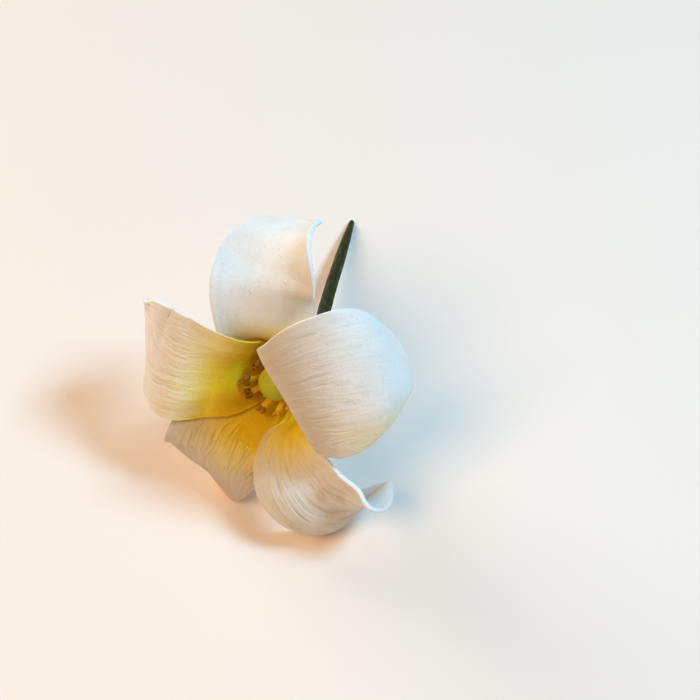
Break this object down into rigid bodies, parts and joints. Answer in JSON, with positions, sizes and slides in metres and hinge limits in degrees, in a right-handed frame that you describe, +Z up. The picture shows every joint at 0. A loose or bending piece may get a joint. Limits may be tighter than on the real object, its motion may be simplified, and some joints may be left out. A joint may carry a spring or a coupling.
{
  "type": "pua kenikeni flower",
  "caption": "Cut foam pua kenikeni flower lying on its petals and stem tip, with broad moulded petals round a golden throat, a green bead and a ring of stamens.",
  "frame": {"origin": "bottom centre of the whole flower's box, on the surface that the flower lies on", "axes": "+Z up from the surface, +Y from the blossom toward the stem's tip, +X to the right seen from the blossom's front"},
  "size_m": [0.0608, 0.1054, 0.0578],
  "materials": {
    "petal_foam": "matte",
    "throat_foam": "matte",
    "bead_green": "satin",
    "stamen_gold": "matte",
    "stem_green": "matte"
  },
  "bodies": {
    "root": {"petal_top": "petal_foam", "petal_left": "petal_foam", "petal_lower_left": "petal_foam", "petal_bottom": "petal_foam", "petal_right": "petal_foam", "throat_core": "throat_foam", "pistil": "bead_green", "stamens": "stamen_gold", "calyx": "stem_green", "stem": "stem_green"}
  },
  "joints": []
}
